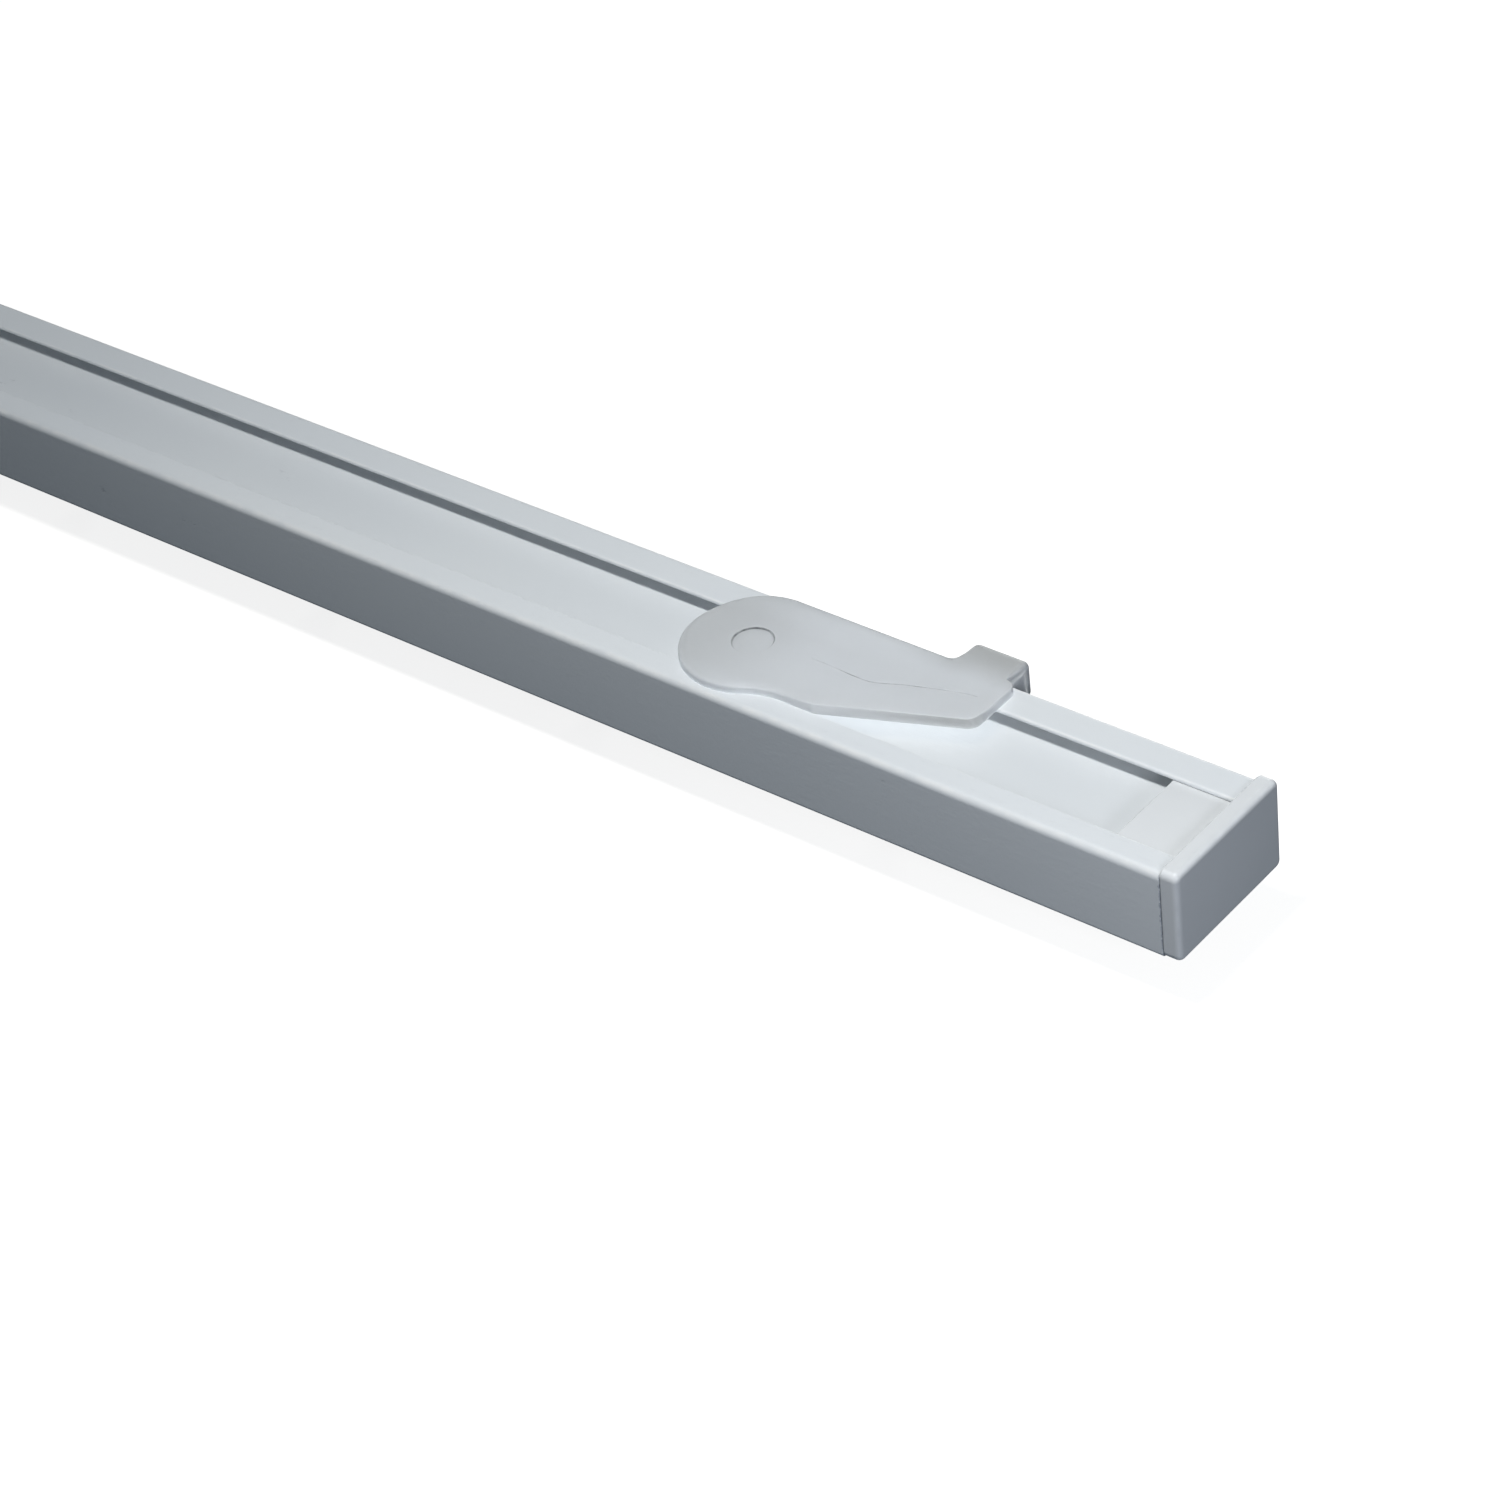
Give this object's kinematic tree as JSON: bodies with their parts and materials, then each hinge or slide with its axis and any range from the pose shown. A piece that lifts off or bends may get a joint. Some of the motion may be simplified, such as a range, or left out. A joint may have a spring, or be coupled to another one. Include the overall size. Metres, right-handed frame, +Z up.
{
  "type": "curtain track",
  "caption": "Ceiling-fixed curtain track: extruded section with swivel clips in its top groove, end caps, and gliders with hook eyes sliding in the channel below.",
  "frame": {"origin": "on the ceiling plane, over the middle of the track on its centre line, halfway between the two clips' screw points", "axes": "+X along the track towards the pictured end cap, +Y to the side with the clips' tabs, +Z up to the ceiling"},
  "size_m": [0.6048, 0.0239, 0.0199],
  "materials": {
    "powder_coat": "white powder coat on extruded aluminium, satin",
    "cap_plastic": "white moulded plastic, satin",
    "clip_plastic": "frosted translucent natural plastic",
    "glider_plastic": "white moulded acetal, smooth",
    "stop_plastic": "white moulded nylon",
    "screw_steel": "zinc plated steel"
  },
  "bodies": {
    "track": {"track_profile": "powder_coat", "end_cap_right": "cap_plastic", "end_cap_left": "cap_plastic", "end_stop_right": "stop_plastic", "end_stop_left": "stop_plastic", "end_stop_right_screw": "screw_steel", "end_stop_left_screw": "screw_steel"},
    "clip_right": {"ceiling_clip_right": "clip_plastic"},
    "clip_left": {"ceiling_clip_left": "clip_plastic"},
    "glider_01": {"glider_01": "glider_plastic"},
    "glider_02": {"glider_02": "glider_plastic"},
    "glider_03": {"glider_03": "glider_plastic"},
    "glider_04": {"glider_04": "glider_plastic"},
    "glider_05": {"glider_05": "glider_plastic"},
    "glider_06": {"glider_06": "glider_plastic"},
    "glider_07": {"glider_07": "glider_plastic"},
    "glider_08": {"glider_08": "glider_plastic"},
    "glider_09": {"glider_09": "glider_plastic"},
    "glider_10": {"glider_10": "glider_plastic"},
    "glider_11": {"glider_11": "glider_plastic"},
    "glider_12": {"glider_12": "glider_plastic"}
  },
  "joints": [
    {"name": "clip_right_swivel", "type": "hinge", "parent": "track", "child": "clip_right", "pos_m": [0.2352, 0, 0], "axis": [0, 0, 1], "range_deg": [0, 90]},
    {"name": "clip_left_swivel", "type": "hinge", "parent": "track", "child": "clip_left", "pos_m": [-0.2352, 0, 0], "axis": [0, 0, 1], "range_deg": [0, 90]},
    {"name": "glider_01_slide", "type": "slide", "parent": "track", "child": "glider_01", "axis": [1, 0, 0], "range_m": [-0.0186, 0.0186]},
    {"name": "glider_02_slide", "type": "slide", "parent": "track", "child": "glider_02", "axis": [1, 0, 0], "range_m": [-0.0186, 0.0186]},
    {"name": "glider_03_slide", "type": "slide", "parent": "track", "child": "glider_03", "axis": [1, 0, 0], "range_m": [-0.0186, 0.0186]},
    {"name": "glider_04_slide", "type": "slide", "parent": "track", "child": "glider_04", "axis": [1, 0, 0], "range_m": [-0.0186, 0.0186]},
    {"name": "glider_05_slide", "type": "slide", "parent": "track", "child": "glider_05", "axis": [1, 0, 0], "range_m": [-0.0186, 0.0186]},
    {"name": "glider_06_slide", "type": "slide", "parent": "track", "child": "glider_06", "axis": [1, 0, 0], "range_m": [-0.0186, 0.0186]},
    {"name": "glider_07_slide", "type": "slide", "parent": "track", "child": "glider_07", "axis": [1, 0, 0], "range_m": [-0.0186, 0.0186]},
    {"name": "glider_08_slide", "type": "slide", "parent": "track", "child": "glider_08", "axis": [1, 0, 0], "range_m": [-0.0186, 0.0186]},
    {"name": "glider_09_slide", "type": "slide", "parent": "track", "child": "glider_09", "axis": [1, 0, 0], "range_m": [-0.0186, 0.0186]},
    {"name": "glider_10_slide", "type": "slide", "parent": "track", "child": "glider_10", "axis": [1, 0, 0], "range_m": [-0.0186, 0.0186]},
    {"name": "glider_11_slide", "type": "slide", "parent": "track", "child": "glider_11", "axis": [1, 0, 0], "range_m": [-0.0186, 0.0186]},
    {"name": "glider_12_slide", "type": "slide", "parent": "track", "child": "glider_12", "axis": [1, 0, 0], "range_m": [-0.0186, 0.0186]}
  ]
}
